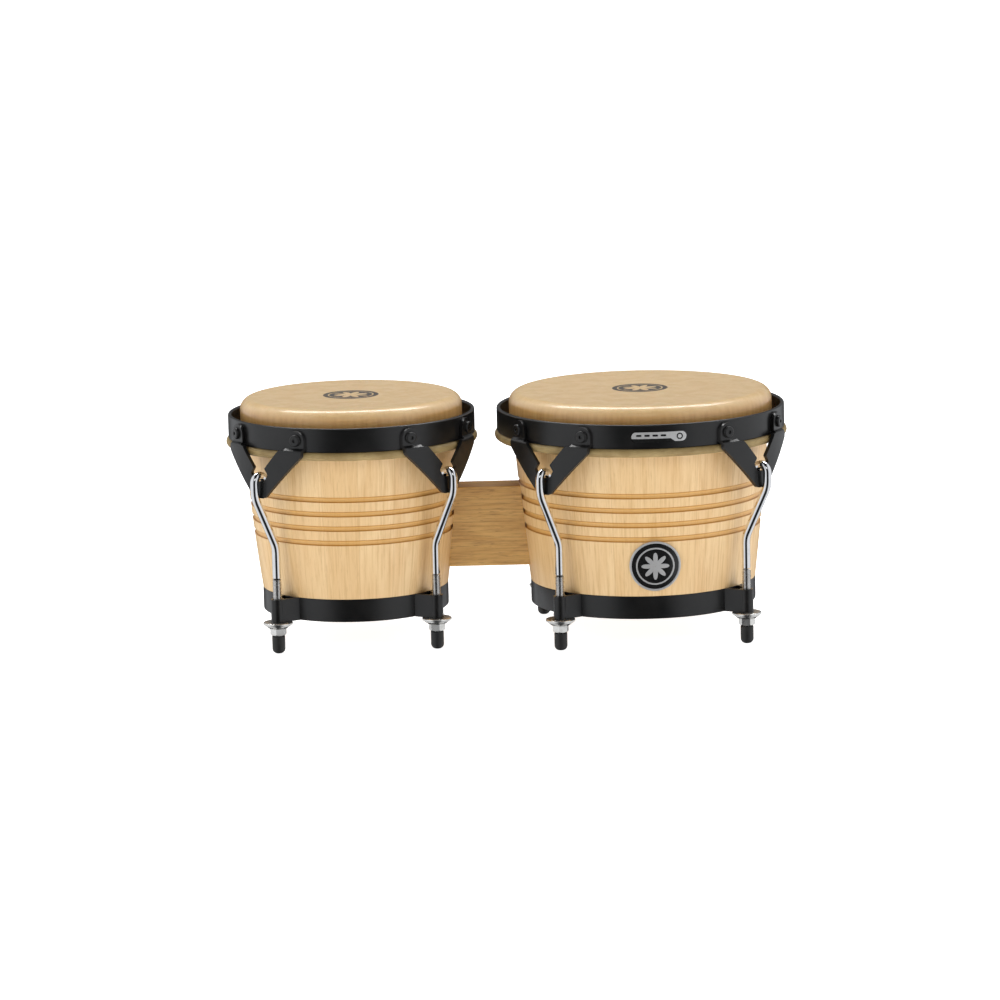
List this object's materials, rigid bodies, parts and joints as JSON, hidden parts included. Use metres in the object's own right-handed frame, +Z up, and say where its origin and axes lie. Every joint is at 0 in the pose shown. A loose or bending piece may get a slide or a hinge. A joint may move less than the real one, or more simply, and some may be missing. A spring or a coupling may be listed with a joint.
{
  "type": "bongo drums",
  "caption": "Pair of bongo drums: a small and a large tapered wooden shell with skin heads, steel rims, hooked tuning rods and nuts, joined by a wooden centre block.",
  "frame": {"origin": "middle of the whole object's footprint, on the plane that the rubber feet stand on", "axes": "+X from the small drum (macho) to the large drum (hembra), -Y the front, +Z up"},
  "size_m": [0.4352, 0.2276, 0.1895],
  "materials": {
    "shell_wood": "pale hardwood staves, satin clear lacquer",
    "block_wood": "hardwood block, satin clear lacquer",
    "skin": "natural skin, rubbed smooth on top",
    "wrapped_skin": "skin wrapped on the flesh hoop",
    "black_steel": "black powder coat, satin",
    "chrome": "polished chrome plate",
    "bright_zinc": "bright zinc plate",
    "dark_steel": "black oxide steel",
    "brass": "plain brass",
    "rubber": "moulded black rubber",
    "badge_enamel": null,
    "polished_plate": "plain bright plate, no text"
  },
  "bodies": {
    "root": {"macho_shell": "shell_wood", "macho_head": "skin", "macho_bottom_ring": "black_steel", "macho_ring_lugs": "black_steel", "macho_washers": "bright_zinc", "macho_block_bolts": "dark_steel", "macho_block_washers": "bright_zinc", "macho_block_inserts": "brass", "hembra_shell": "shell_wood", "hembra_head": "skin", "hembra_bottom_ring": "black_steel", "hembra_ring_lugs": "black_steel", "hembra_washers": "bright_zinc", "hembra_block_bolts": "dark_steel", "hembra_block_washers": "bright_zinc", "hembra_block_inserts": "brass", "hembra_badge": "badge_enamel", "centre_block": "block_wood"},
    "macho_rim": {"macho_rim": "black_steel", "macho_flesh_hoop": "wrapped_skin", "macho_rivets": "black_steel", "macho_ear_1": "black_steel", "macho_rod_1": "chrome", "macho_foot_cap_1": "rubber", "macho_ear_2": "black_steel", "macho_rod_2": "chrome", "macho_foot_cap_2": "rubber", "macho_ear_3": "black_steel", "macho_rod_3": "chrome", "macho_foot_cap_3": "rubber", "macho_ear_4": "black_steel", "macho_rod_4": "chrome", "macho_foot_cap_4": "rubber"},
    "macho_nut_1": {"macho_nut_1": "bright_zinc"},
    "macho_nut_2": {"macho_nut_2": "bright_zinc"},
    "macho_nut_3": {"macho_nut_3": "bright_zinc"},
    "macho_nut_4": {"macho_nut_4": "bright_zinc"},
    "hembra_rim": {"hembra_rim": "black_steel", "hembra_flesh_hoop": "wrapped_skin", "hembra_rivets": "black_steel", "hembra_ear_1": "black_steel", "hembra_rod_1": "chrome", "hembra_foot_cap_1": "rubber", "hembra_ear_2": "black_steel", "hembra_rod_2": "chrome", "hembra_foot_cap_2": "rubber", "hembra_ear_3": "black_steel", "hembra_rod_3": "chrome", "hembra_foot_cap_3": "rubber", "hembra_ear_4": "black_steel", "hembra_rod_4": "chrome", "hembra_foot_cap_4": "rubber", "hembra_label": "polished_plate"},
    "hembra_nut_1": {"hembra_nut_1": "bright_zinc"},
    "hembra_nut_2": {"hembra_nut_2": "bright_zinc"},
    "hembra_nut_3": {"hembra_nut_3": "bright_zinc"},
    "hembra_nut_4": {"hembra_nut_4": "bright_zinc"}
  },
  "joints": [
    {"name": "macho_tuning", "type": "slide", "parent": "root", "child": "macho_rim", "axis": [0, 0, 1], "range_m": [-0.005, 0.0006], "deforming": ["macho_head"]},
    {"name": "macho_nut_1_turn", "type": "hinge", "parent": "root", "child": "macho_nut_1", "pos_m": [-0.06083, 0.06269, 0.0184], "axis": [0, 0, 1], "range_deg": [-1805, 221]},
    {"name": "macho_nut_2_turn", "type": "hinge", "parent": "root", "child": "macho_nut_2", "pos_m": [-0.18239, 0.05887, 0.0184], "axis": [0, 0, 1], "range_deg": [-1805, 221]},
    {"name": "macho_nut_3_turn", "type": "hinge", "parent": "root", "child": "macho_nut_3", "pos_m": [-0.17857, -0.06269, 0.0184], "axis": [0, 0, 1], "range_deg": [-1805, 221]},
    {"name": "macho_nut_4_turn", "type": "hinge", "parent": "root", "child": "macho_nut_4", "pos_m": [-0.05701, -0.05887, 0.0184], "axis": [0, 0, 1], "range_deg": [-1805, 221]},
    {"name": "hembra_tuning", "type": "slide", "parent": "root", "child": "hembra_rim", "axis": [0, 0, 1], "range_m": [-0.005, 0.0006], "deforming": ["hembra_head"]},
    {"name": "hembra_nut_1_turn", "type": "hinge", "parent": "root", "child": "hembra_nut_1", "pos_m": [0.17026, 0.07645, 0.0184], "axis": [0, 0, 1], "range_deg": [-1805, 221]},
    {"name": "hembra_nut_2_turn", "type": "hinge", "parent": "root", "child": "hembra_nut_2", "pos_m": [0.02735, 0.06646, 0.0184], "axis": [0, 0, 1], "range_deg": [-1805, 221]},
    {"name": "hembra_nut_3_turn", "type": "hinge", "parent": "root", "child": "hembra_nut_3", "pos_m": [0.03734, -0.07645, 0.0184], "axis": [0, 0, 1], "range_deg": [-1805, 221]},
    {"name": "hembra_nut_4_turn", "type": "hinge", "parent": "root", "child": "hembra_nut_4", "pos_m": [0.18025, -0.06646, 0.0184], "axis": [0, 0, 1], "range_deg": [-1805, 221]}
  ],
  "couplings": [
    {"joint": "macho_nut_1_turn", "follows": "macho_tuning", "rad_per_m": 6283.2},
    {"joint": "macho_nut_2_turn", "follows": "macho_tuning", "rad_per_m": 6283.2},
    {"joint": "macho_nut_3_turn", "follows": "macho_tuning", "rad_per_m": 6283.2},
    {"joint": "macho_nut_4_turn", "follows": "macho_tuning", "rad_per_m": 6283.2},
    {"joint": "hembra_nut_1_turn", "follows": "hembra_tuning", "rad_per_m": 6283.2},
    {"joint": "hembra_nut_2_turn", "follows": "hembra_tuning", "rad_per_m": 6283.2},
    {"joint": "hembra_nut_3_turn", "follows": "hembra_tuning", "rad_per_m": 6283.2},
    {"joint": "hembra_nut_4_turn", "follows": "hembra_tuning", "rad_per_m": 6283.2}
  ]
}
